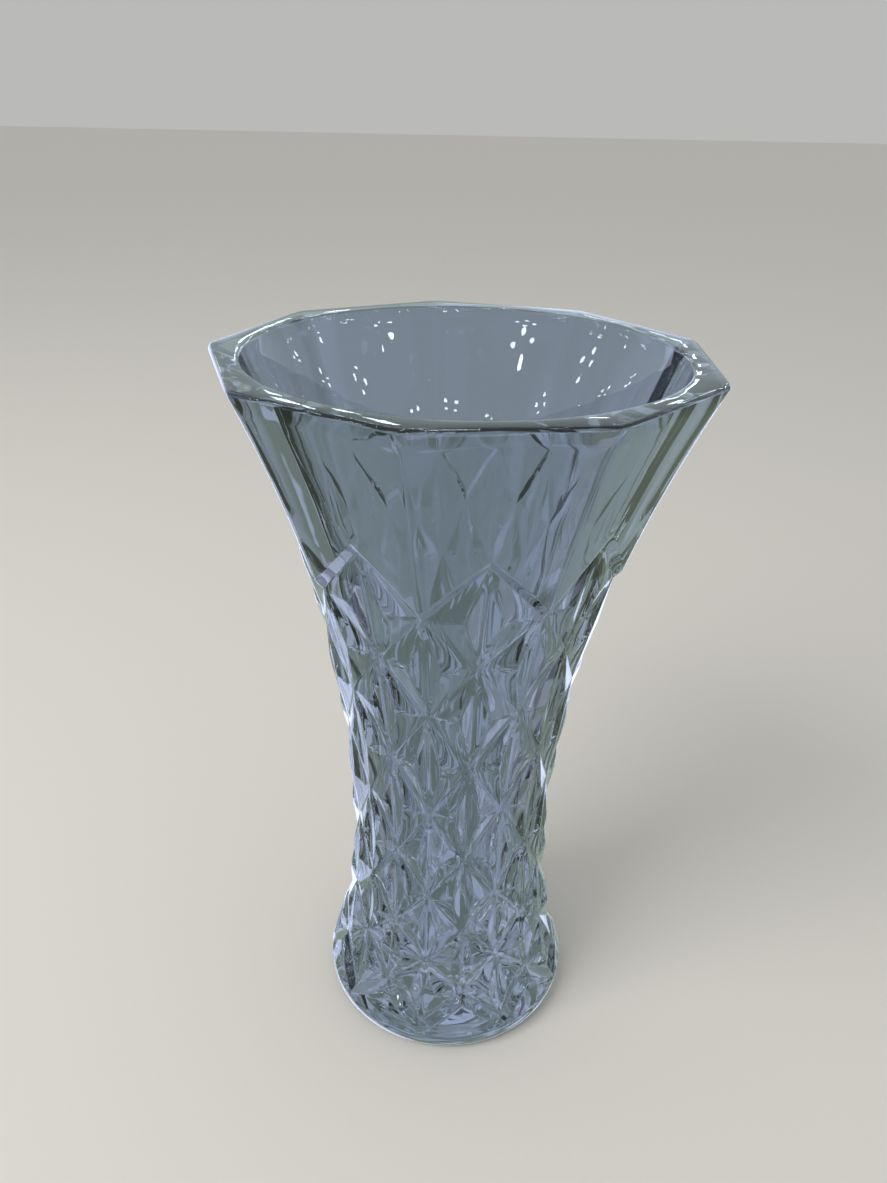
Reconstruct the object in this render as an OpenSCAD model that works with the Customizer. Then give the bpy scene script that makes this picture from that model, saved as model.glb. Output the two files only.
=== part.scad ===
// Flared crystal vase: a solid heel, a star-cut wall and a plain nine-sided lip around a round cavity.
// The origin is the middle of the flat underside and +Z points up out of the mouth.
// One corner of the lip points along +Y, and one flat panel faces -Y.

/* [Body] */
// Height from the underside to the rim
height = 250; // [230:1:270]
// Radius to the corners of the rim
rim_r = 77.5; // [70:0.5:82]
// Radius at the narrowest height
waist_r = 36.8; // [35:0.1:40]
// Height of the narrowest part
waist_z = 76; // [70:1:86]
// Largest radius of the foot
foot_r = 46.6; // [43:0.1:50]
// Height at which the foot is widest
foot_z = 7; // [5:0.5:9]
// How fast the sides flare away from the waist
flare = 2; // [1.8:0.05:2.4]

/* [Cavity] */
// Thickness of glass under the cavity
heel_t = 14; // [12:0.5:18]
// Wall thickness at the waist, outside the cuts
waist_t = 7.5; // [6:0.5:9]
// Wall thickness at the rim, in the middle of a panel
rim_t = 6.5; // [5:0.5:8]
// Radius of the cavity where the rounding into its floor begins
bowl_r = 27; // [24:0.5:28]
// Radius of the rounding from the cavity's wall into its floor
bowl_round = 16; // [10:0.5:18]

/* [Star cutting] */
// Depth of the cut grooves, measured from the peaks between them
cut_depth = 1.8; // [1:0.1:2.6]
// Heights of the star centres, from the lowest up, on corner columns and panel columns in turn
star_z = [11, 24, 37, 50, 65, 83, 104, 125.5, 147, 167, 186, 205.5];
// Width of the bevel outside the pattern, as a part of the spacing between rows
bevel = 0.3; // [0.2:0.05:0.4]

/* [Rim] */
// Rounding of the rim's two edges
rim_round = 1.3; // [0.6:0.1:2]
// Height at which the outside begins to turn nine-sided
facet_low_z = 125; // [110:1:140]
// Height above which the outside is fully nine-sided
facet_high_z = 215; // [200:1:222]

/* [Hidden] */

sides = 9;                       // panels of the lip
side_angle = 360 / sides;
columns = 2 * sides;             // star columns: one on each corner and one on each panel
steps = 3;                       // mesh steps from one column or row of stars to the next
points = columns * steps;        // points round every ring
edge_sag = 3;                    // how far the foot tucks in from its widest ring to the underside
rows = len(star_z) - 1;

// Ring heights through the pattern, with every row of stars on a ring
pattern_z = [for (k = [0 : rows * steps])
    let (i = min(floor(k / steps), rows - 1), t = k / steps - i)
        star_z[i] * (1 - t) + star_z[i + 1] * t];
foot_top = pattern_z[2 * steps + 1];         // the foot ends above the rounding of the cavity's floor
wall_top = star_z[rows] + 6.5;               // the wall ends just above the highest stars
bowl_top = heel_t + bowl_round;              // the cavity's wall ends and its rounding begins here

// Row number of a height: a whole number at each row of stars
row_pairs = concat(
    [[-1, (-1 - star_z[0]) / (star_z[1] - star_z[0])]],
    [for (i = [0 : rows]) [star_z[i], i]],
    [[height + 1, rows + (height + 1 - star_z[rows]) / (star_z[rows] - star_z[rows - 1])]]);

// A radius that swells as a power of the distance from the waist, to low_r at low_z and top_r at the rim
function swell(z, mid_r, low_z, low_r, top_r) =
    z >= waist_z
        ? mid_r + (top_r - mid_r) * pow((z - waist_z) / (height - waist_z), flare)
        : mid_r + (low_r - mid_r) * pow((waist_z - z) / (waist_z - low_z), flare);

// Outer corner radius: the swell, with an elliptical tuck under the foot's widest ring
function outer_r(z) = z >= foot_z
    ? swell(z, waist_r, foot_z, foot_r, rim_r)
    : foot_r - edge_sag * (1 - sqrt(1 - pow((foot_z - z) / foot_z, 2)));

// Radius of the cavity, which is round all the way up: the swell, with a circular arc into the floor
function inner_r(z) = z >= bowl_top
    ? swell(z, waist_r - waist_t, bowl_top, bowl_r, rim_r * cos(side_angle / 2) - rim_t)
    : bowl_r - bowl_round + sqrt(max(0, pow(bowl_round, 2) - pow(bowl_top - z, 2)));

// 0 where the outside is round, 1 where it is nine-sided, with a smooth ramp between
function facet(z) =
    let (t = max(0, min(1, (z - facet_low_z) / (facet_high_z - facet_low_z)))) t * t * (3 - 2 * t);

// Distance to the outline with corner radius r at angle a from a corner
function outline(r, a, n) =
    let (from_panel = (a % side_angle) - side_angle / 2)
        r * (1 - n + n * cos(side_angle / 2) / cos(from_panel));

// Folds a column or row number into 0 at an even number and 1 at an odd one
function fold(x) = abs((x + 101) % 2 - 1);

// Height of the pyramids as a part of the cut depth: 0 in a groove, 1 at a peak.
// Grooves run up every column and along both diagonals, so six meet at each star.
function pyramid(s, w) =
    3 * (s > w ? min(1 - s, (s - w) / 2) : min(s, (w - s) / 2));

// How deep the surface lies below the uncut outline, with a bevel past the zigzag ends of the pattern
function carve(a, z) =
    let (c = a * columns / 360, v = lookup(z, row_pairs), s = fold(c),
         past = max(s - v, v - (rows - 1 + s)))
        cut_depth * (past <= 0 ? 1 - pyramid(s, fold(v)) : max(0, 1 - past / bevel));

// One ring of points at height z; cut is 1 outside and 0 inside the vase
function ring(z, r, n, cut) =
    [for (i = [0 : points - 1])
        let (a = i * 360 / points, d = outline(r, a, n) - cut * carve(a, z))
            [d * cos(a + 90), d * sin(a + 90), z]];

function outer_ring(z) = ring(z, outer_r(z), facet(z), 1);
function inner_ring(z) = ring(z, inner_r(z), 0, 0);

// Flips the diagonal of a mesh square so that it follows the grooves
function leans_left(i, z) =
    (floor(i / steps) + floor(lookup(z, row_pairs) + 100 + 0.01)) % 2 == 1;

// Closed solid through a list of rings; ends are joined to each other, or each closed by a flat cap
module ringed_solid(rings, capped) {
    count = len(rings);
    quads = capped ? count - 1 : count;
    walls = [for (j = [0 : quads - 1], i = [0 : points - 1])
        let (k = (i + 1) % points, m = (j + 1) % count,
             p = j * points + i, q = j * points + k, r = m * points + k, s = m * points + i)
            each leans_left(i, rings[j][0][2])
                ? [[p, s, q], [q, s, r]]
                : [[p, r, q], [p, s, r]]];
    caps = capped
        ? [[for (i = [0 : points - 1]) i],
           [for (i = [points - 1 : -1 : 0]) (count - 1) * points + i]]
        : [];
    polyhedron([for (each_ring = rings) each each_ring], concat(walls, caps), convexity = 4);
}

// Heights of the outer rings from low to high, both included, wherever the pattern has a ring
function heights(low, high) =
    concat([low], [for (z = pattern_z) if (z > low + 0.1 && z < high - 0.1) z], [high]);

// Solid star-cut heel, with the rounded floor of the cavity in its top
module foot() {
    below = [0, 0.6, 1.6, 3.2, 5, foot_z];
    wall = [for (k = [0 : 2]) foot_top + (bowl_top - foot_top) * k / 3];
    bowl = [for (a = [0 : 15 : 75]) bowl_top - bowl_round * sin(a)];
    color([0.72, 0.78, 0.86, 0.5])
        ringed_solid(concat(
            [for (z = below) outer_ring(z)],
            [for (z = heights(star_z[0], foot_top)) outer_ring(z)],
            [for (z = concat(wall, bowl, [heel_t])) inner_ring(z)]), true);
}

// Star-cut wall from the foot to just above the highest stars
module cut_wall() {
    up = heights(foot_top, wall_top);
    down = [for (k = [10 : -1 : 0]) foot_top + (wall_top - foot_top) * k / 10];
    color([0.76, 0.81, 0.89, 0.5])
        ringed_solid(concat([for (z = up) outer_ring(z)], [for (z = down) inner_ring(z)]), false);
}

// Plain flaring panels, up to the rounded rim
module lip() {
    shoulder = height - rim_round;
    up = [for (k = [0 : 4]) wall_top + (shoulder - wall_top) * k / 4];
    arc = [for (a = [30 : 30 : 90]) a];
    color([0.80, 0.85, 0.92, 0.5])
        ringed_solid(concat(
            [for (z = up) outer_ring(z)],
            [for (a = arc) ring(shoulder + rim_round * sin(a),
                outer_r(shoulder) - rim_round * (1 - cos(a)), 1, 0)],
            [for (k = [len(arc) - 1 : -1 : 0]) ring(shoulder + rim_round * sin(arc[k]),
                inner_r(shoulder) + rim_round * (1 - cos(arc[k])), 0, 0)],
            [for (k = [4 : -1 : 0]) inner_ring(up[k])]), false);
}

foot();
cut_wall();
lip();
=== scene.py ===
"""A flared, star-cut crystal vase on a pale table in a pale studio.

The sizes that a user would change sit in the property groups below, in metres and degrees.
The glass alone sees a made-up room of patches and lamps: see studio_world.
"""

import math

import bpy
import numpy as np
from bpy.props import (
    FloatProperty,
    FloatVectorProperty,
    IntProperty,
    PointerProperty,
)
from bpy.types import Operator, Panel, PropertyGroup
from mathutils import Matrix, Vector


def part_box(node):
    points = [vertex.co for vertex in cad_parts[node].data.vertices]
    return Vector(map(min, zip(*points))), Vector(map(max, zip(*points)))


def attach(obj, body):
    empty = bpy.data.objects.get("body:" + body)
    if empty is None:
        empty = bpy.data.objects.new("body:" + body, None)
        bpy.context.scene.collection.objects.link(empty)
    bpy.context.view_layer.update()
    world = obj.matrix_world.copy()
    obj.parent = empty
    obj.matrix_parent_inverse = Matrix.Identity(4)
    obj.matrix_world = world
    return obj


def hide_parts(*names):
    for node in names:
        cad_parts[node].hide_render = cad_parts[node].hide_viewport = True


bl_info = {
    "name": "Star-cut Crystal Vase",
    "version": (1, 0, 0),
    "blender": (4, 5, 0),
    "location": "3D View > Sidebar > Crystal Vase",
    "description": "Builds a flared star-cut crystal vase and its studio",
    "category": "Add Mesh",
}

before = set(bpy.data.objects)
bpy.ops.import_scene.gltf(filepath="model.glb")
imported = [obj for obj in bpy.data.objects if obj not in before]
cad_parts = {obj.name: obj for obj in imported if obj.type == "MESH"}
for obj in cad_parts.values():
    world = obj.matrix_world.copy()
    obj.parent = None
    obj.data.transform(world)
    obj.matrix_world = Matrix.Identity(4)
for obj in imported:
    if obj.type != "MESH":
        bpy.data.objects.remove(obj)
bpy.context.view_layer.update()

LIP_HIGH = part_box("lip")[1]

SIDES = 9
COLUMNS = 2 * SIDES
# Heights of the star centres, on corner columns and panel columns in turn, from the lowest up
STAR_HEIGHTS = np.array([11, 24, 37, 50, 65, 83, 104, 125.5, 147, 167, 186, 205.5]) / 1000
ROWS = len(STAR_HEIGHTS) - 1
# Where mesh lines cross the gap from a corner column to a panel column, closest at the creases
GAP_LINES = np.array([0, 0.02, 0.08, 0.22, 0.4, 0.6, 0.8, 0.98])
# Where mesh lines cross a facet from one star to the next, and from the groove up to the peak
ACROSS_DIAGONAL = np.append(GAP_LINES, 1)
ACROSS_UPRIGHT = np.array([0, 0.02, 0.2, 0.4, 0.6, 0.8, 0.98, 1])
UP_FACET = np.array([0, 0.035, 0.3, 0.6, 0.93, 1])
# Where mesh lines cross the bevel beyond the pattern, and the plain glass past it
ACROSS_BEVEL = (0.08, 0.5, 0.92)
ACROSS_PLAIN = (0.012, 0.15, 0.35, 0.55, 0.75, 0.9, 1)
# Rings round each rounded part, its two ends among them
RIM_RINGS, BOWL_RINGS, TUCK_RINGS = 6, 11, 9
# Rings across the cavity's floor and the underside, as parts of their radius
FLOOR_PARTS = (0.75, 0.5, 0.25, 0)
UNDERSIDE_PARTS = (0.97, 0.75, 0.5, 0.25, 0)
# Points closer than this are one point
WELD_STEP = 1e-6

# Table and window light
TABLE_REACH = 8.0
TABLE_ROUGHNESS = 0.55
WINDOW_PLACE = (-0.9, -0.5, 1.1)
WINDOW_SIZE = 0.8
WINDOW_COLOUR = (1, 0.97, 0.92)

# The room that the glass sees, where a height is a direction's Z, from -1 to 1
PATCH_EDGE = (0.48, 0.57)
CALM_BAND_HEIGHT = -0.28
CALM_BAND_EDGE = (0.12, 0.26)
CALM_BAND_CONTRAST = 0.12
THROUGH_TONE = 0.4
MIRROR_TONE = 0.2
MIRROR_FADE = (0.25, 0.0)
LOWEST_LAMP = 0.2

# Waves and rubbing marks in the surface of the glass
WAVE_DEPTH = 0.004
RUBBING_SCALE = 90.0


# ---------------------------------------------------------------- properties


class VaseShape(PropertyGroup):
    """Sizes of the vase."""

    rim_radius: FloatProperty(
        name="Rim radius",
        description="Radius to the corners of the rim, where its rounding starts",
        default=LIP_HIGH[1],
        subtype="DISTANCE",
    )
    height: FloatProperty(
        name="Height",
        description="Height from the table to the rim",
        default=LIP_HIGH[2],
        subtype="DISTANCE",
    )
    waist_radius: FloatProperty(
        name="Waist radius",
        description="Radius at the narrowest height",
        default=0.0368,
        subtype="DISTANCE",
    )
    waist_height: FloatProperty(
        name="Waist height",
        description="Height of the narrowest part",
        default=0.076,
        subtype="DISTANCE",
    )
    foot_radius: FloatProperty(
        name="Foot radius",
        description="Largest radius of the foot",
        default=0.0466,
        subtype="DISTANCE",
    )
    foot_height: FloatProperty(
        name="Foot height",
        description="Height at which the foot is widest",
        default=0.007,
        subtype="DISTANCE",
    )
    foot_tuck: FloatProperty(
        name="Foot tuck",
        description="How far the foot draws in from its widest ring to the underside",
        default=0.003,
        subtype="DISTANCE",
    )
    flare: FloatProperty(
        name="Flare",
        description="Power by which the sides swell away from the waist",
        default=2.0,
    )
    cut_depth: FloatProperty(
        name="Cut depth",
        description="Depth of the star centres below the uncut surface",
        default=0.0018,
        subtype="DISTANCE",
    )
    edge_softness: FloatProperty(
        name="Edge softness",
        description="How far polishing lifts the grooves and lowers the ridges",
        default=0.00007,
        subtype="DISTANCE",
    )
    bevel_width: FloatProperty(
        name="Bevel width",
        description="Height of the bevel between the pattern's zigzag ends and the plain glass",
        default=0.0034,
        subtype="DISTANCE",
    )
    wall_waist: FloatProperty(
        name="Wall at the waist",
        description="Wall thickness at the waist, outside the cuts",
        default=0.0075,
        subtype="DISTANCE",
    )
    wall_rim: FloatProperty(
        name="Wall at the rim",
        description="Wall thickness at the rim, in the middle of a panel",
        default=0.0065,
        subtype="DISTANCE",
    )
    heel: FloatProperty(
        name="Heel",
        description="Thickness of solid glass under the cavity",
        default=0.014,
        subtype="DISTANCE",
    )
    bowl_radius: FloatProperty(
        name="Bowl radius",
        description="Radius of the cavity where the rounding into its floor begins",
        default=0.027,
        subtype="DISTANCE",
    )
    bowl_round: FloatProperty(
        name="Bowl rounding",
        description="Radius of the rounding from the cavity's wall into its floor",
        default=0.016,
        subtype="DISTANCE",
    )
    rim_round: FloatProperty(
        name="Rim rounding",
        description="Rounding of the rim's two edges",
        default=0.0013,
        subtype="DISTANCE",
    )
    corner_round: FloatProperty(
        name="Corner rounding",
        description="Angle over which a corner of the lip is rounded, outside",
        default=math.radians(1.1),
        subtype="ANGLE",
    )
    facet_low: FloatProperty(
        name="Round below",
        description="Height at which the body begins to turn nine-sided",
        default=0.125,
        subtype="DISTANCE",
    )
    facet_high: FloatProperty(
        name="Nine-sided above",
        description="Height above which the body is fully nine-sided",
        default=0.215,
        subtype="DISTANCE",
    )
    inner_rings: IntProperty(
        name="Inner rings",
        description="Mesh rings down the wall of the cavity",
        default=56,
        min=8,
    )


class GlassLook(PropertyGroup):
    """Colour and polish of the crystal."""

    tint: FloatVectorProperty(
        name="Tint",
        description="Colour that light takes on each time it crosses a wall",
        default=(0.78, 0.82, 0.86),
        subtype="COLOR",
        min=0,
        max=1,
    )
    depth_tint: FloatVectorProperty(
        name="Depth tint",
        description="Colour left after a long way through the glass",
        default=(0.62, 0.74, 0.82),
        subtype="COLOR",
        min=0,
        max=1,
    )
    depth_density: FloatProperty(
        name="Depth density",
        description="How quickly the depth tint builds up, for each metre of glass",
        default=3.0,
    )
    ior: FloatProperty(
        name="Refractive index",
        description="Refractive index of the crystal",
        default=1.52,
    )
    ripple: FloatProperty(
        name="Ripple",
        description="Strength of the slight waves left by fire polishing",
        default=0.06,
    )
    ripple_size: FloatProperty(
        name="Ripples per metre",
        description="How closely the waves of the fire polish lie",
        default=55.0,
    )
    rubbing: FloatProperty(
        name="Rubbing",
        description="Roughness of the most rubbed places",
        default=0.02,
    )


class StudioLook(PropertyGroup):
    """Table, light, camera and the room that the glass sees."""

    table_colour: FloatVectorProperty(
        name="Table colour",
        description="Colour of the pale table",
        default=(0.90, 0.88, 0.83),
        subtype="COLOR",
        min=0,
        max=1,
    )
    table_gap: FloatProperty(
        name="Table gap",
        description="Air under the vase, so that light can leave through its underside",
        default=0.0005,
        subtype="DISTANCE",
    )
    pale_patch: FloatVectorProperty(
        name="Pale patches",
        description="Colour of the pale patches that the glass bends and mirrors",
        default=(0.56, 0.63, 0.88),
        subtype="COLOR",
        min=0,
        max=1,
    )
    dark_patch: FloatVectorProperty(
        name="Dark patches",
        description="Colour of the dark patches that the glass bends and mirrors",
        default=(0.15, 0.19, 0.145),
        subtype="COLOR",
        min=0,
        max=1,
    )
    patch_scale: FloatProperty(
        name="Patch scale",
        description="How closely the patches follow each other round the studio",
        default=4.0,
    )
    through_contrast: FloatProperty(
        name="Contrast through glass",
        description="How strong the patches are when seen through the glass",
        default=0.7,
    )
    mirror_power: FloatProperty(
        name="Mirror power",
        description="How much brighter the studio is in mirror images than through the glass",
        default=4.2,
    )
    patch_layout: FloatProperty(
        name="Patch layout",
        description="Picks one of the endless layouts of the patches",
        default=3.4,
    )
    lamp_spacing: FloatProperty(
        name="Lamp spacing",
        description="Distance between groups of four lamps, as a part of the ceiling's height",
        default=1.3,
    )
    lamp_pair: FloatProperty(
        name="Lamp pair",
        description="Distance between the two lamps of a pair, as a part of the ceiling's height",
        default=0.26,
    )
    lamp_radius: FloatProperty(
        name="Lamp radius",
        description="Radius of a ceiling lamp, as a part of the ceiling's height",
        default=0.045,
    )
    lamp_power: FloatProperty(
        name="Lamp power",
        description="How much brighter than the ceiling the lamps are in mirror images",
        default=24.0,
    )
    lamp_through: FloatProperty(
        name="Lamps through glass",
        description="How much brighter than the ceiling the lamps are through the glass",
        default=2.5,
    )
    sky_colour: FloatVectorProperty(
        name="Studio colour",
        description="Colour of the soft light from all round",
        default=(0.70, 0.70, 0.69),
        subtype="COLOR",
        min=0,
        max=1,
    )
    sky_power: FloatProperty(
        name="Studio power",
        description="Strength of the soft light from all round",
        default=0.70,
    )
    key_power: FloatProperty(
        name="Key power",
        description="Power of the large soft window light",
        default=9.0,
        subtype="POWER",
    )
    camera_azimuth: FloatProperty(
        name="Camera azimuth",
        description="Direction of the camera round the vase, from +X",
        default=math.radians(-98.93),
        subtype="ANGLE",
    )
    camera_distance: FloatProperty(
        name="Camera distance",
        description="Level distance from the vase's axis to the camera",
        default=0.2832,
        subtype="DISTANCE",
    )
    camera_rise: FloatProperty(
        name="Camera rise",
        description="Height of the camera above the rim",
        default=0.0684,
        subtype="DISTANCE",
    )
    camera_pitch: FloatProperty(
        name="Camera pitch",
        description="How far the camera looks down",
        default=math.radians(27.73),
        subtype="ANGLE",
    )
    camera_yaw: FloatProperty(
        name="Camera yaw",
        description="How far the camera turns to its left of the vase's axis",
        default=math.radians(0.96),
        subtype="ANGLE",
    )
    camera_roll: FloatProperty(
        name="Camera roll",
        description="How far the camera is rolled clockwise",
        default=math.radians(1.51),
        subtype="ANGLE",
    )
    camera_lens: FloatProperty(
        name="Focal length",
        description="Focal length on a 36 mm sensor",
        default=29.06,
        subtype="DISTANCE_CAMERA",
    )


# ---------------------------------------------------------------- surface formulas


def swell(z, shape, mid_r, low_z, low_r, top_r):
    """Radius at height z: mid_r at the waist, plus a power of the distance from the waist
    that reaches top_r where the rim's rounding starts and low_r at low_z."""
    shoulder = shape.height - shape.rim_round
    up = (z - shape.waist_height) / (shoulder - shape.waist_height)
    down = (shape.waist_height - z) / (shape.waist_height - low_z)
    above = mid_r + (top_r - mid_r) * np.maximum(up, 0) ** shape.flare
    below = mid_r + (low_r - mid_r) * np.maximum(down, 0) ** shape.flare
    return np.where(z >= shape.waist_height, above, below)


def outer_radius(z, shape):
    """The swell from the foot's widest ring to the rim, and below that ring a quarter of an
    ellipse that tucks the foot in."""
    drop = np.clip((shape.foot_height - z) / shape.foot_height, 0, 1)
    tuck = shape.foot_tuck * (1 - np.sqrt(1 - drop**2))
    side = swell(
        np.maximum(z, shape.foot_height),
        shape,
        shape.waist_radius,
        shape.foot_height,
        shape.foot_radius,
        shape.rim_radius,
    )
    return side - tuck


def inner_radius(z, shape):
    """The swell of the cavity's wall, which ends where the rounding into its floor begins.
    At the rim it stands a wall's thickness inside the middle of each flat panel."""
    panel_radius = shape.rim_radius * math.cos(math.pi / SIDES)
    return swell(
        z,
        shape,
        shape.waist_radius - shape.wall_waist,
        shape.heel + shape.bowl_round,
        shape.bowl_radius,
        panel_radius - shape.wall_rim,
    )


def nine_sided(z, shape):
    """0 where the body is round and 1 where it is nine-sided, with a smooth step between."""
    t = np.clip((z - shape.facet_low) / (shape.facet_high - shape.facet_low), 0, 1)
    return t * t * (3 - 2 * t)


def outline(radius, column, sidedness, rounding):
    """Distance from the axis to the outline at a column number.

    A flat side's distance goes as 1 / cos(angle from its middle). The angle left to the
    corner is replaced by its hypotenuse with the rounding angle, which rounds the corner off,
    and the whole is scaled so that the rounded corner lies at the radius."""
    half_side = math.pi / SIDES
    to_corner = np.abs((column + 1) % 2 - 1) * half_side
    from_middle = half_side - np.hypot(to_corner, rounding)
    flat = math.cos(half_side - rounding) / np.cos(from_middle)
    return radius * (1 - sidedness + sidedness * flat)


def place(column, z, distance):
    """Point at a column number, height and distance from the axis; column 0 lies along +Y."""
    angle = math.pi / 2 + column * math.pi / SIDES
    column, z, distance, angle = np.broadcast_arrays(column, z, distance, angle)
    return np.stack([distance * np.cos(angle), distance * np.sin(angle), z], axis=-1)


def plain_point(column, z, shape):
    """Point on the uncut outside of the vase."""
    radius = outer_radius(z, shape)
    side = nine_sided(z, shape)
    return place(column, z, outline(radius, column, side, shape.corner_round))


def push_in(points, depth):
    """Moves points towards the axis by depth, level."""
    level = np.linalg.norm(points[..., :2], axis=-1, keepdims=True)
    moved = points.copy()
    moved[..., :2] *= 1 - np.asarray(depth)[..., None] / level
    return moved


def star_point(column, row, shape):
    """Star centre on a column and row: the uncut surface, pushed in by the cut depth."""
    z = STAR_HEIGHTS[row]
    return push_in(plain_point(column, z, shape), np.full(z.shape, shape.cut_depth))


# ---------------------------------------------------------------- mesh patches


def grid_triangles(rows, columns, closed=False):
    """Corner numbers of the triangles of a grid of points, two to a square, facing outwards
    when columns run anticlockwise and rows run up. A closed grid joins its last column to its first."""
    wide = columns if closed else columns - 1
    r, c = np.meshgrid(np.arange(rows - 1), np.arange(wide), indexing="ij")
    a = r * columns + c
    b = r * columns + (c + 1) % columns
    d, e = a + columns, b + columns
    return np.concatenate(
        [np.stack([a, b, e], -1).reshape(-1, 3), np.stack([a, e, d], -1).reshape(-1, 3)]
    )


def face_outwards(points, faces):
    """Turns over the triangles whose normal points towards the axis."""
    a, b, c = (points[faces[:, i]] for i in range(3))
    normal, middle = np.cross(b - a, c - a), a + b + c
    inward = np.sum(normal[:, :2] * middle[:, :2], axis=1) < 0
    return np.where(inward[:, None], faces[:, ::-1], faces)


def facet_patch(star_a, star_b, peak, across, shape):
    """Flat facets between two stars and a peak.

    Point (u, v) is the mean of the groove point (1 - v) a + v b and the peak, weighted by u.
    The groove line, u = 0, is lifted and the two ridges, v = 0 and 1, lowered by the polish."""
    u = UP_FACET[None, :, None, None]
    v = across[None, None, :, None]
    groove = (1 - v) * star_a[:, None, None] + v * star_b[:, None, None]
    points = (1 - u) * groove + u * peak[:, None, None]
    depth = np.zeros(points.shape[:3])
    depth[:, 0, :] = -shape.edge_softness
    depth[:, 1:, 0] = shape.edge_softness
    depth[:, 1:, -1] = shape.edge_softness
    depth[:, -1, :] = 2 * shape.edge_softness
    return push_in(points, depth)


def star_pattern(shape):
    """All facets of the star cutting, as points and triangles.

    A pyramid stands between every star and the two stars above and below on the next column.
    Its peak lies a third of the way from the pair's column to the single star's."""
    points, faces, start = [], [], 0
    gap, row, side = np.meshgrid(
        np.arange(COLUMNS), np.arange(1, ROWS), np.array([-1, 1]), indexing="ij"
    )
    gap, row, side = gap.ravel(), row.ravel(), side.ravel()
    single = np.where(side < 0, gap, gap + 1)
    keep = (single + row) % 2 == 0
    row, side, single = row[keep], side[keep], single[keep]
    pair = single - side
    peak = plain_point(pair + side / 3, STAR_HEIGHTS[row], shape)
    tip = star_point(single, row, shape)
    low = star_point(pair, row - 1, shape)
    high = star_point(pair, row + 1, shape)
    even_single = single % 2 == 0
    for first, second, mixed in ((low, high, False), (tip, low, True), (tip, high, True)):
        across = ACROSS_DIAGONAL if mixed else ACROSS_UPRIGHT
        swap = ~even_single[:, None] if mixed else np.zeros((len(row), 1), bool)
        a, b = np.where(swap, second, first), np.where(swap, first, second)
        patch = facet_patch(a, b, peak, across, shape)
        tall, wide = patch.shape[1:3]
        cells = grid_triangles(tall, wide)
        offsets = np.arange(len(row))[:, None, None] * tall * wide
        faces.append((cells[None] + offsets).reshape(-1, 3) + start)
        points.append(patch.reshape(-1, 3))
        start += patch[..., 0].size
    points, faces = np.concatenate(points), np.concatenate(faces)
    return points, face_outwards(points, faces)


def column_lines():
    """Column numbers of the mesh lines right round the vase: the gap lines, mirrored on every
    other gap so that they are always measured from the corner column."""
    mirrored = (1 - np.append(GAP_LINES, 1))[::-1][:-1]
    pair = np.concatenate([GAP_LINES, 1 + mirrored])
    return (np.arange(SIDES)[:, None] * 2 + pair).ravel()


def zigzag(columns, even_row, odd_row, shape):
    """The groove line that ends the pattern: straight between the stars of an even column's
    row and an odd column's row, lifted as other grooves are."""
    base = np.floor(columns).astype(int)
    t = (columns - base)[:, None]
    left_row = np.where(base % 2 == 0, even_row, odd_row)
    right_row = np.where(base % 2 == 0, odd_row, even_row)
    left = star_point(base, left_row, shape)
    right = star_point(base + 1, right_row, shape)
    return push_in((1 - t) * left + t * right, np.full(len(columns), -shape.edge_softness))


def rising_rows(line, top, columns, shape):
    """Rows of points from a zigzag line to a level ring: up the bevel, then over plain glass.

    A plain point's height is a mean of the bevel's edge and the ring. The bevel runs straight
    from the groove to its edge, and closely spaced rows keep its two edges crisp."""
    rise = np.sign(top - line[0, 2]) * shape.bevel_width
    edge_z = line[:, 2] + rise
    edge = plain_point(columns, edge_z, shape)
    soft = push_in(edge, np.full(len(columns), shape.edge_softness))
    bevel = [line + t * (edge - line) for t in ACROSS_BEVEL]
    plain = [
        plain_point(columns, edge_z + t * (top - edge_z), shape)
        for t in ACROSS_PLAIN
    ]
    return [line, *bevel, soft, *plain]


def ring(z, radius, sidedness, rounding, columns):
    """Level ring of points with a corner radius."""
    return place(columns, np.full(len(columns), z), outline(radius, columns, sidedness, rounding))


def upper_rings(shape, columns):
    """From the top zigzag over the rim and down the cavity to its floor.

    The rim's edges are quarter circles. The cavity's wall follows its own swell, and a
    quarter circle leads from it into the level floor."""
    shoulder = shape.height - shape.rim_round
    top_line = zigzag(columns, ROWS - 1, ROWS, shape)
    rows = rising_rows(top_line, shoulder, columns, shape)
    out_r = float(outer_radius(np.array(shoulder), shape))
    in_r = float(inner_radius(np.array(shoulder), shape))
    quarter = np.linspace(0, math.pi / 2, RIM_RINGS)
    for a in quarter[1:]:
        z = shoulder + shape.rim_round * math.sin(a)
        inset = shape.rim_round * (1 - math.cos(a))
        rows.append(ring(z, out_r - inset, 1, shape.corner_round, columns))
    for a in quarter[::-1]:
        z = shoulder + shape.rim_round * math.sin(a)
        inset = shape.rim_round * (1 - math.cos(a))
        rows.append(ring(z, in_r + inset, 0, 0, columns))
    bowl_top = shape.heel + shape.bowl_round
    for z in np.linspace(shoulder, bowl_top, shape.inner_rings)[1:]:
        radius = float(inner_radius(np.array(z), shape))
        rows.append(ring(z, radius, 0, 0, columns))
    for a in np.linspace(0, math.pi / 2, BOWL_RINGS)[1:]:
        z = bowl_top - shape.bowl_round * math.sin(a)
        radius = shape.bowl_radius - shape.bowl_round * (1 - math.cos(a))
        rows.append(ring(z, radius, 0, 0, columns))
    floor_r = shape.bowl_radius - shape.bowl_round
    for part in FLOOR_PARTS:
        rows.append(ring(shape.heel, floor_r * part, 0, 0, columns))
    return np.stack(rows)


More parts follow.
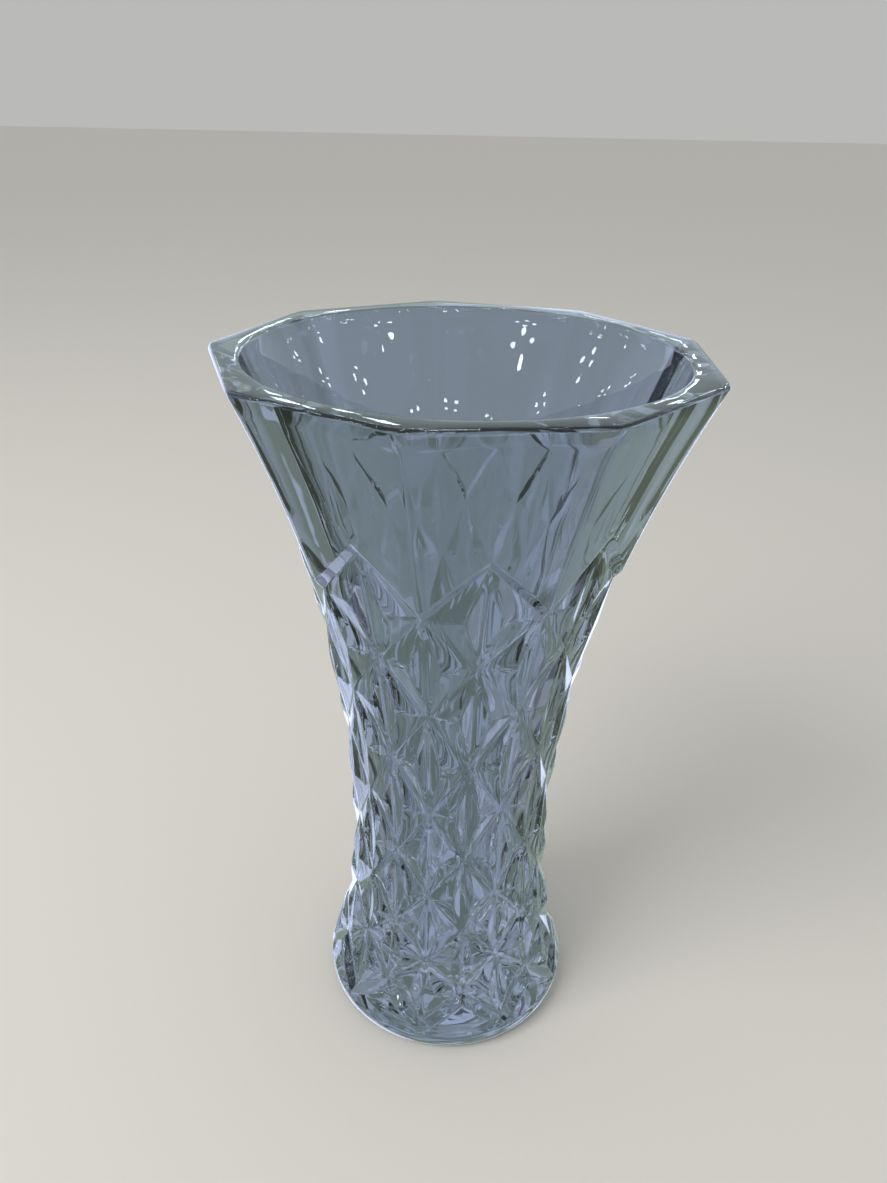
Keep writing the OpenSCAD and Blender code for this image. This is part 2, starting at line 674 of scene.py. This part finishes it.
def lower_rings(shape, columns):
    """From the bottom zigzag down the plain band, round the foot's tuck and across the
    polished underside to its middle. Rows run up, so the list is turned over."""
    line = zigzag(columns, 0, 1, shape)
    rows = rising_rows(line, shape.foot_height, columns, shape)
    for a in np.linspace(0, math.pi / 2, TUCK_RINGS)[1:]:
        z = shape.foot_height * (1 - math.sin(a))
        radius = shape.foot_radius - shape.foot_tuck * (1 - math.cos(a))
        rows.append(ring(z, radius, 0, 0, columns))
    flat_r = shape.foot_radius - shape.foot_tuck
    for part in UNDERSIDE_PARTS:
        rows.append(ring(0, flat_r * part, 0, 0, columns))
    return np.stack(rows[::-1])


def weld(points, faces):
    """Merges points that agree to a step, and drops triangles that lose a corner."""
    keys = np.round(points / WELD_STEP).astype(np.int64)
    _, first, number = np.unique(keys, axis=0, return_index=True, return_inverse=True)
    faces = number.ravel()[faces]
    whole = (
        (faces[:, 0] != faces[:, 1])
        & (faces[:, 1] != faces[:, 2])
        & (faces[:, 2] != faces[:, 0])
    )
    return points[first], faces[whole]


def vase_surface(shape):
    """The whole outside and inside of the vase as one closed skin of triangles."""
    columns = column_lines()
    points, faces = star_pattern(shape)
    for rows in (lower_rings(shape, columns), upper_rings(shape, columns)):
        cells = grid_triangles(rows.shape[0], rows.shape[1], closed=True)
        faces = np.concatenate([faces, cells + len(points)])
        points = np.concatenate([points, rows.reshape(-1, 3)])
    return weld(points, faces)


def mesh_object(name, points, faces):
    """New smooth-shaded object from whole arrays of points and triangles."""
    mesh = bpy.data.meshes.new(name)
    mesh.vertices.add(len(points))
    mesh.vertices.foreach_set("co", points.astype(np.float32).ravel())
    mesh.loops.add(faces.size)
    mesh.loops.foreach_set("vertex_index", faces.astype(np.int32).ravel())
    mesh.polygons.add(len(faces))
    mesh.polygons.foreach_set("loop_start", np.arange(0, faces.size, 3, dtype=np.int32))
    mesh.update(calc_edges=True)
    mesh.validate()
    mesh.shade_smooth()
    made = bpy.data.objects.new(name, mesh)
    bpy.context.scene.collection.objects.link(made)
    return made


# ---------------------------------------------------------------- shader maths


class Value:
    """A shader socket that Python expressions can work on."""

    def __init__(self, tree, socket):
        self.tree, self.socket = tree, socket

    def node(self, kind, settings=None, inputs=None, output=0):
        """New node of a type, with its settings and then the values or links of its sockets."""
        made = self.tree.nodes.new(kind)
        for key, value in (settings or {}).items():
            setattr(made, key, value)
        for key, value in (inputs or {}).items():
            if isinstance(value, Value):
                self.tree.links.new(value.socket, made.inputs[key])
            else:
                made.inputs[key].default_value = value
        return Value(self.tree, made.outputs[output])

    def maths(self, operation, first, second):
        return self.node("ShaderNodeMath", {"operation": operation}, {0: first, 1: second})

    def part(self, number):
        """X, Y or Z of a vector, by its number."""
        return self.node("ShaderNodeSeparateXYZ", None, {0: self}, output=number)

    def smooth(self, start, end, lowest=0.0):
        """Smooth step from lowest at start to 1 at end."""
        return self.node(
            "ShaderNodeMapRange",
            {"interpolation_type": "SMOOTHSTEP"},
            {"Value": self, "From Min": start, "From Max": end, "To Min": lowest},
        )

    def mix(self, first, second):
        """Colour that goes from the first to the second as this value goes from 0 to 1."""
        return self.node(
            "ShaderNodeMix", {"data_type": "RGBA"}, {0: self, 6: first, 7: second}, output=2
        )

    def __abs__(self):
        return self.node("ShaderNodeMath", {"operation": "ABSOLUTE"}, {0: self})

    def __add__(self, other):
        return self.maths("ADD", self, other)

    def __mul__(self, other):
        return self.maths("MULTIPLY", self, other)

    def __sub__(self, other):
        return self.maths("SUBTRACT", self, other)

    def __rsub__(self, other):
        return self.maths("SUBTRACT", other, self)

    def __truediv__(self, other):
        return self.maths("DIVIDE", self, other)

    __radd__, __rmul__ = __add__, __mul__


def glass_material(look):
    """Polished crystal: tinted at the surface and slightly in its depth, with the faint
    waves and the almost invisible rubbing marks of a washed and handled vase."""
    material = bpy.data.materials.new("polished_crystal")
    material.use_nodes = True
    tree = material.node_tree
    shader = tree.nodes["Principled BSDF"]
    place_in = Value(tree, tree.nodes.new("ShaderNodeTexCoord").outputs["Object"])

    waves = place_in.node(
        "ShaderNodeTexNoise",
        {"noise_dimensions": "3D"},
        {"Vector": place_in, "Scale": look.ripple_size, "Detail": 1.5, "Roughness": 0.4},
    )
    bump = place_in.node(
        "ShaderNodeBump", None, {"Strength": look.ripple, "Distance": WAVE_DEPTH, "Height": waves}
    )
    tree.links.new(bump.socket, shader.inputs["Normal"])

    rubbing = place_in.node(
        "ShaderNodeTexNoise",
        {"noise_dimensions": "3D"},
        {"Vector": place_in, "Scale": RUBBING_SCALE, "Detail": 6.0, "Roughness": 0.6},
    )
    tree.links.new((rubbing * look.rubbing).socket, shader.inputs["Roughness"])

    shader.inputs["Base Color"].default_value = (*look.tint, 1)
    shader.inputs["IOR"].default_value = look.ior
    shader.inputs["Transmission Weight"].default_value = 1.0
    depth = tree.nodes.new("ShaderNodeVolumeAbsorption")
    depth.inputs["Color"].default_value = (*look.depth_tint, 1)
    depth.inputs["Density"].default_value = look.depth_density
    tree.links.new(depth.outputs["Volume"], tree.nodes["Material Output"].inputs["Volume"])
    return material


def table_material(look):
    """Even, matt finish of the table."""
    material = bpy.data.materials.new("pale_table")
    material.use_nodes = True
    shader = material.node_tree.nodes["Principled BSDF"]
    shader.inputs["Base Color"].default_value = (*look.table_colour, 1)
    shader.inputs["Roughness"].default_value = TABLE_ROUGHNESS
    shader.inputs["Specular IOR Level"].default_value = 0.0
    return material


# ---------------------------------------------------------------- operators


class VASE_OT_glass(Operator):
    """Make the one piece of cut crystal that stands for all three zones"""

    bl_idname = "vase.glass"
    bl_label = "Crystal"

    def execute(self, context):
        shape, look = context.scene.vase_shape, context.scene.vase_glass
        made = mesh_object("vase_glass", *vase_surface(shape))
        made.data.materials.append(glass_material(look))
        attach(made, "root")
        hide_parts("foot", "cut_wall", "lip")
        return {"FINISHED"}


def window_light(look_at, look):
    """Soft square light that faces a point. The glass doesn't mirror it as a hard square."""
    data = bpy.data.lights.new("window", "AREA")
    data.shape = "RECTANGLE"
    data.size = data.size_y = WINDOW_SIZE
    data.energy, data.color = look.key_power, WINDOW_COLOUR
    lamp = bpy.data.objects.new("window", data)
    away = np.array(WINDOW_PLACE) - np.array(look_at)
    back = away / np.linalg.norm(away)
    right = np.cross((0.0, 0.0, 1.0), back)
    right /= np.linalg.norm(right)
    turn = np.eye(4)
    turn[:3, 0], turn[:3, 1], turn[:3, 2] = right, np.cross(back, right), back
    turn[:3, 3] = WINDOW_PLACE
    lamp.matrix_world = Matrix(turn.tolist())
    lamp.visible_glossy = lamp.visible_transmission = False
    bpy.context.scene.collection.objects.link(lamp)


def ceiling_lamps(towards, look):
    """1 towards a lamp and 0 elsewhere: round lamps in fours on a level ceiling.

    A direction meets a ceiling one unit up at (x / z, y / z). Within each square of the
    ceiling, the distances from the middle are folded to one side, so that one lamp makes four."""
    height = towards.part(2)
    square = 0.0
    for number in (0, 1):
        cell = towards.part(number) / (height * look.lamp_spacing) + 0.5
        middle = cell.node("ShaderNodeMath", {"operation": "FRACT"}, {0: cell}) - 0.5
        away = abs(middle) * look.lamp_spacing - look.lamp_pair / 2
        square = away * away + square
    near = square.maths("LESS_THAN", square, look.lamp_radius**2)
    return near * height.maths("GREATER_THAN", height, LOWEST_LAMP)


def studio_world(look):
    """Even pale light for the background and for matt surfaces.

    Cut glass shows what it bends and mirrors, so rays that have met the glass see pale and
    dark patches and ceiling lamps instead, brighter where they are mirrored. Real light
    doesn't work like this, and another scene gives the glass other colours."""
    world = bpy.data.worlds.new("studio")
    world.use_nodes = True
    tree = world.node_tree
    background = tree.nodes["Background"]
    towards = Value(tree, tree.nodes.new("ShaderNodeTexCoord").outputs["Generated"])
    height = towards.part(2)
    path = tree.nodes.new("ShaderNodeLightPath")
    rays = {socket.name: Value(tree, socket) for socket in path.outputs}
    mirrored = rays["Is Glossy Ray"] * (1.0 - rays["Is Transmission Ray"])
    plain = rays["Is Camera Ray"] + rays["Is Diffuse Ray"]

    noise = towards.node(
        "ShaderNodeTexNoise",
        {"noise_dimensions": "4D"},
        {"Vector": towards, "W": look.patch_layout, "Scale": look.patch_scale, "Detail": 0.6},
    )
    patches = noise.smooth(*PATCH_EDGE)
    calm = abs(height - CALM_BAND_HEIGHT).smooth(*CALM_BAND_EDGE, CALM_BAND_CONTRAST)
    through = (patches - THROUGH_TONE) * calm * look.through_contrast + THROUGH_TONE
    mirror = (patches - MIRROR_TONE) * height.smooth(*MIRROR_FADE) + MIRROR_TONE
    contrast = through + (mirror - through) * mirrored
    room = contrast.mix((*look.dark_patch, 1), (*look.pale_patch, 1))
    seen = plain.mix(room, (*look.sky_colour, 1))
    tree.links.new(seen.socket, background.inputs["Color"])

    lamps = ceiling_lamps(towards, look) * (1.0 - plain)
    glare = lamps * (mirrored * look.lamp_power + look.lamp_through) + 1.0
    power = (mirrored * (look.mirror_power - 1.0) + 1.0) * glare * look.sky_power
    tree.links.new(power.socket, background.inputs["Strength"])
    bpy.context.scene.world = world


def studio_camera(look, top):
    """Camera on a circle round the vase's axis, turned by its yaw, pitch and roll."""
    yaw, pitch, roll = -look.camera_yaw, look.camera_pitch, look.camera_roll
    ahead = np.array(
        [math.sin(yaw) * math.cos(pitch), math.cos(yaw) * math.cos(pitch), -math.sin(pitch)]
    )
    level = np.array([math.cos(yaw), -math.sin(yaw), 0.0])
    over = np.cross(level, ahead)
    right = math.cos(roll) * level + math.sin(roll) * over
    up = math.cos(roll) * over - math.sin(roll) * level
    spot = np.array([0.0, -look.camera_distance, top + look.camera_rise])
    turn = look.camera_azimuth + math.pi / 2
    about = np.array(
        [
            [math.cos(turn), -math.sin(turn), 0.0],
            [math.sin(turn), math.cos(turn), 0.0],
            [0.0, 0.0, 1.0],
        ]
    )
    matrix = np.eye(4)
    matrix[:3, 0], matrix[:3, 1], matrix[:3, 2] = about @ right, about @ up, about @ -ahead
    matrix[:3, 3] = about @ spot
    data = bpy.data.cameras.new("camera")
    data.lens, data.sensor_width = look.camera_lens, 36.0
    data.clip_start = 0.01
    camera = bpy.data.objects.new("camera", data)
    camera.matrix_world = Matrix(matrix.tolist())
    bpy.context.scene.collection.objects.link(camera)
    bpy.context.scene.camera = camera


class VASE_OT_studio(Operator):
    """Make the table, the lights and the camera"""

    bl_idname = "vase.studio"
    bl_label = "Studio"

    def execute(self, context):
        look, shape = context.scene.vase_studio, context.scene.vase_shape
        corners = np.array([[-1, -1, 0], [1, -1, 0], [1, 1, 0], [-1, 1, 0]]) * TABLE_REACH
        corners[:, 2] = -look.table_gap
        table = mesh_object("table", corners, np.array([[0, 1, 2], [0, 2, 3]]))
        table.data.materials.append(table_material(look))
        table.visible_transmission = table.visible_glossy = False
        studio_world(look)
        window_light((0.0, 0.0, shape.height / 2), look)
        studio_camera(look, shape.height)
        context.scene.cycles.max_bounces = 24
        context.scene.cycles.transmission_bounces = 20
        context.scene.view_settings.view_transform = "Standard"
        return {"FINISHED"}


class VASE_PT_panel(Panel):
    """Lists the vase's operators and sizes in the sidebar"""

    bl_idname = "VASE_PT_panel"
    bl_label = "Crystal Vase"
    bl_space_type = "VIEW_3D"
    bl_region_type = "UI"
    bl_category = "Crystal Vase"

    def draw(self, context):
        for operator in (VASE_OT_glass, VASE_OT_studio):
            self.layout.operator(operator.bl_idname)
        for group in ("vase_shape", "vase_glass", "vase_studio"):
            settings = getattr(context.scene, group)
            box = self.layout.box()
            for key in settings.bl_rna.properties.keys():
                if key not in ("rna_type", "name"):
                    box.prop(settings, key)


GROUPS = {"vase_shape": VaseShape, "vase_glass": GlassLook, "vase_studio": StudioLook}
CLASSES = (*GROUPS.values(), VASE_OT_glass, VASE_OT_studio, VASE_PT_panel)


def register():
    for cls in CLASSES:
        bpy.utils.register_class(cls)
    for name, group in GROUPS.items():
        setattr(bpy.types.Scene, name, PointerProperty(type=group))


def unregister():
    for name in GROUPS:
        delattr(bpy.types.Scene, name)
    for cls in reversed(CLASSES):
        bpy.utils.unregister_class(cls)


def main():
    register()
    bpy.ops.vase.studio()
    bpy.ops.vase.glass()


if __name__ == "__main__":
    main()
